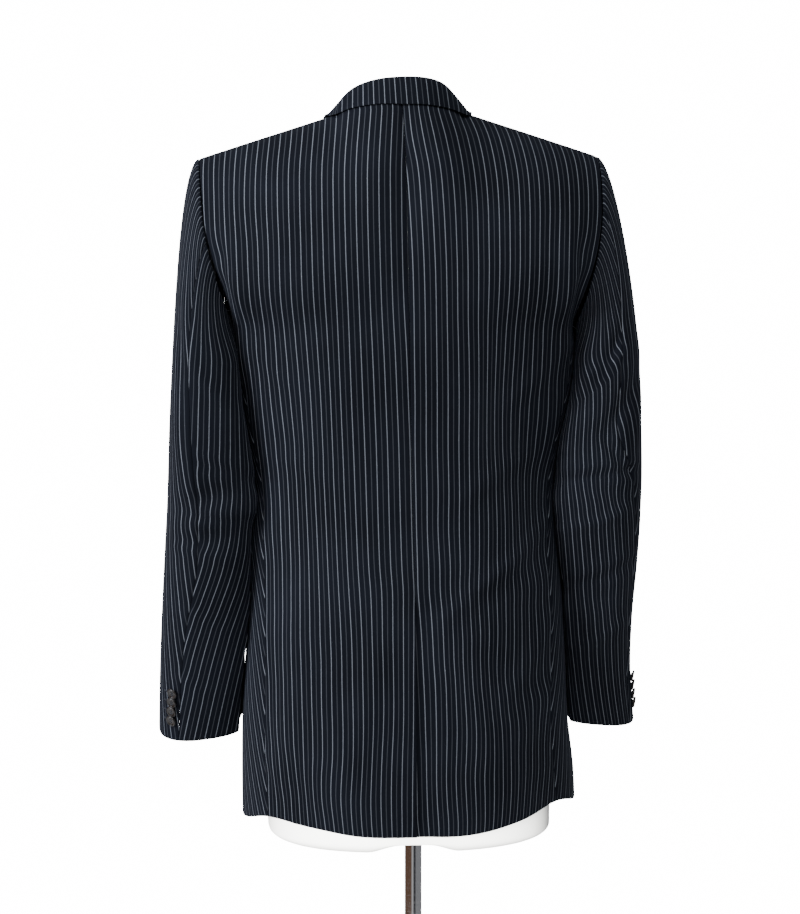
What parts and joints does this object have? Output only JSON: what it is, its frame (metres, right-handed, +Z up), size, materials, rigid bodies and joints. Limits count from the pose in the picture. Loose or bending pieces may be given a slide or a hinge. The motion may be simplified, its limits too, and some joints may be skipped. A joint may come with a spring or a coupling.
{
  "type": "pinstripe suit jacket on a dress form",
  "caption": "Tailored pinstripe suit jacket with notch lapels, flap pockets and a back vent, worn by a limbless dress form on a pole with a round base.",
  "frame": {"origin": "on the floor, at the centre of the base's underside", "axes": "+Z up, +Y towards the jacket's front, -X towards the wearer's left"},
  "size_m": [0.5446, 0.33, 1.5253],
  "materials": {
    "pinstripe_wool": "matt worsted with pale stripes",
    "horn": "dark mottled, satin",
    "form_white": "smooth white",
    "polished_steel": "polished"
  },
  "bodies": {
    "root": {"back_left": "pinstripe_wool", "back_right": "pinstripe_wool", "side_left": "pinstripe_wool", "side_right": "pinstripe_wool", "front_left": "pinstripe_wool", "front_right": "pinstripe_wool", "lapel_left": "pinstripe_wool", "lapel_right": "pinstripe_wool", "collar": "pinstripe_wool", "top_sleeve_left": "pinstripe_wool", "top_sleeve_right": "pinstripe_wool", "under_sleeve_left": "pinstripe_wool", "under_sleeve_right": "pinstripe_wool", "flap_left": "pinstripe_wool", "flap_right": "pinstripe_wool", "front_button_upper": "horn", "front_button_lower": "horn", "cuff_button_left_1": "horn", "cuff_button_left_2": "horn", "cuff_button_left_3": "horn", "cuff_button_left_4": "horn", "cuff_button_right_1": "horn", "cuff_button_right_2": "horn", "cuff_button_right_3": "horn", "cuff_button_right_4": "horn", "form_torso": "form_white", "pole": "polished_steel", "base": "polished_steel"}
  },
  "joints": []
}
